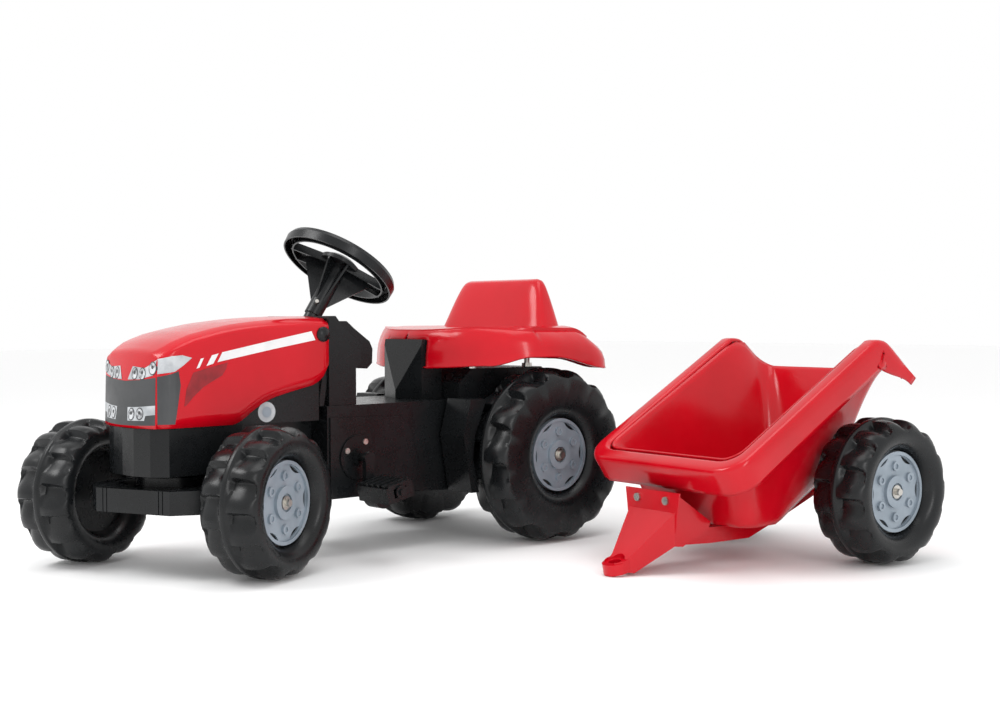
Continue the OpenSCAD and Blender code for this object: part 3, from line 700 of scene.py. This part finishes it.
def tub_body():
    """The tub's walls down from the rim, then rings that close its floor."""
    rows = [tub_level(d) for d in np.linspace(0, 0.93, 16)]
    lowest = rows[-1]
    base = tub_level(1.0)
    middle_y = -95.0
    for shrink, sink in ((0.985, 0.965), (0.95, 0.985), (0.9, 0.995), (0.75, 1.0), (0.5, 1.0), (0.02, 1.0)):
        ring = []
        for (x, y, _), (_, _, above) in zip(base, lowest):
            y = middle_y + (y - middle_y) * shrink
            ring.append((x * shrink, y, above + (tub_floor(y) - above) * sink * 0.999))
        rows.append(ring)
    points = [q for row in rows for q in row]
    faces = [f[::-1] for f in grid_faces(len(rows), len(lowest), closed_cols=True)]
    obj = build("tub_body_mesh", points, faces, RED, TRAILER, "trailer", angle=70)
    modifier(obj, "SOLIDIFY", thickness=TUB_WALL * MM, offset=-1.0)
    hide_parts("trailer_tub")


tub_rim()
tub_body()


# ---- CAD nodes keep their shape: finish and edge rounding only ----
SOFT_EDGES = {"chassis_shell": 5, "dash_tower": 5, "seat_pedestal": 3, "wheel_guards": 3, "axle_beam": 3.5,
              "hitch_bracket": 1.5, "crank_covers": 1.0, "trailer_drawbar": 1.6, "steering_wheel": 1.2,
              "pedal_left": 1.8, "pedal_right": 1.8, "hood": 6, "seat": 4, "trailer_tub": 2.5}
DISC_EDGE = 0.7
SMALL_EDGE = 0.4
SHARP_ANGLE = math.radians(32)
slots = {s["node"]: s["material_slot"] for s in record["subparts"]}
for name, obj in nodes.items():
    obj.data.materials.clear()
    obj.data.materials.append(SLOT_MATERIAL[slots[name]])
    soften(obj, SOFT_EDGES.get(name, DISC_EDGE if name.startswith("disc") else SMALL_EDGE))
    for poly in obj.data.polygons:
        poly.use_smooth = True
    obj.data.set_sharp_from_angle(angle=SHARP_ANGLE)

# ---- stage, lights and camera ----
FLOOR_SIZE = 30
FLOOR_DROP = 0.0003
bpy.ops.mesh.primitive_plane_add(size=FLOOR_SIZE, location=(0, 0, -FLOOR_DROP))
floor = bpy.context.object
floor.name = "studio_floor"
floor_mat, _, floor_bsdf = principled("floor_paper")
floor_bsdf.inputs["Base Color"].default_value = (0.97, 0.97, 0.97, 1)
floor_bsdf.inputs["Roughness"].default_value = 0.75
floor.data.materials.append(floor_mat)

world = bpy.data.worlds.new("studio")
bpy.context.scene.world = world
world.use_nodes = True
world.node_tree.nodes["Background"].inputs["Color"].default_value = (1, 1, 1, 1)
world.node_tree.nodes["Background"].inputs["Strength"].default_value = 1.0


def area(name, at, aim, size, power, size_y=None):
    data = bpy.data.lights.new(name, "AREA")
    data.energy = power
    data.size = size
    if size_y:
        data.shape = "RECTANGLE"
        data.size_y = size_y
    obj = bpy.data.objects.new(name, data)
    bpy.context.scene.collection.objects.link(obj)
    obj.location = at
    obj.rotation_euler = (Vector(aim) - Vector(at)).to_track_quat("-Z", "Y").to_euler()


area("key_softbox", (-0.9, -1.6, 2.1), (0, 0, 0.15), 1.2, 22, 0.8)
area("top_softbox", (0.2, 0.1, 2.6), (0, 0, 0), 1.8, 14, 1.2)
area("side_strip", (2.2, -0.6, 1.0), (0.1, 0, 0.2), 0.35, 12, 1.6)

CAM_AZIMUTH, CAM_ELEVATION, CAM_ROLL = (math.radians(v) for v in (48.07, 1.44, -0.22))
CAM_OFFSET = (0.03544, 0.30659, 2.45217)
CAM_LENS = 50.08
CAM_SENSOR = 36
back = Vector((math.sin(CAM_AZIMUTH) * math.cos(CAM_ELEVATION),
               -math.cos(CAM_AZIMUTH) * math.cos(CAM_ELEVATION),
               math.sin(CAM_ELEVATION)))
level = Vector((math.cos(CAM_AZIMUTH), math.sin(CAM_AZIMUTH), 0))
upright = back.cross(level)
right = level * math.cos(CAM_ROLL) + upright * math.sin(CAM_ROLL)
up = upright * math.cos(CAM_ROLL) - level * math.sin(CAM_ROLL)
target = Vector((rear_axle[0], rear_axle[1], 0))
eye = target + right * CAM_OFFSET[0] + up * CAM_OFFSET[1] + back * CAM_OFFSET[2]
cam_data = bpy.data.cameras.new("camera")
cam_data.lens = CAM_LENS
cam_data.sensor_width = CAM_SENSOR
cam = bpy.data.objects.new("camera", cam_data)
bpy.context.scene.collection.objects.link(cam)
cam.matrix_world = Matrix([[v[i] for v in (right, up, back, eye)] for i in range(3)] + [[0, 0, 0, 1]])
bpy.context.scene.camera = cam
bpy.context.scene.view_settings.view_transform = "Standard"

bpy.context.view_layer.update()
